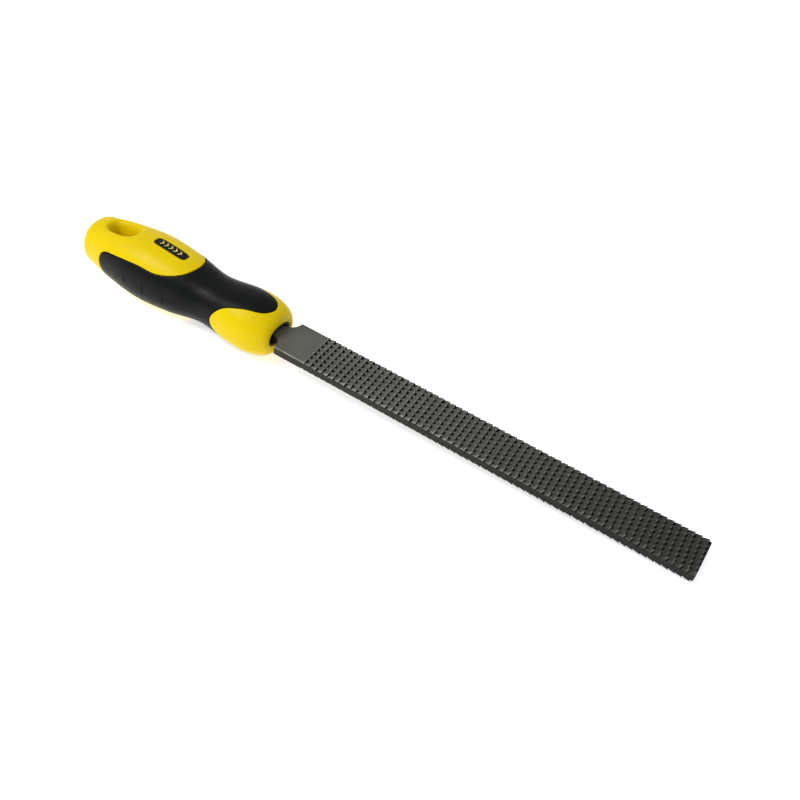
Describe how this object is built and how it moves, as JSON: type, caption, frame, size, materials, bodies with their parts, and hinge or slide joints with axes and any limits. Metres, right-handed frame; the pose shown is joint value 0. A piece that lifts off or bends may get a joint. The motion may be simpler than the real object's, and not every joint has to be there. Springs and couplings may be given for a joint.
{
  "type": "wood rasp",
  "caption": "Flat wood rasp: a straight steel bar with rows of raised triangular teeth on both faces, its tang held in a waisted hard-and-soft moulded handle with a hang hole.",
  "frame": {"origin": "middle of the whole rasp, on its long axis", "axes": "+X along the blade towards its tip, +Y across the blade, +Z out of the blade's upper face, the side with the handle's label"},
  "size_m": [0.315, 0.033, 0.032],
  "materials": {
    "steel": "dark oiled tool steel, as cut, unpolished",
    "yellow_plastic": "semi-gloss moulded hard plastic",
    "black_rubber": "soft satin overmoulded grip",
    "black_plastic": "matt moulded liner",
    "label": "satin moulded plate with a plain relief pattern"
  },
  "bodies": {
    "root": {"blade": "steel", "handle_core": "yellow_plastic", "grip": "black_rubber", "tang_socket": "black_plastic", "label_plate": "label"}
  },
  "joints": []
}
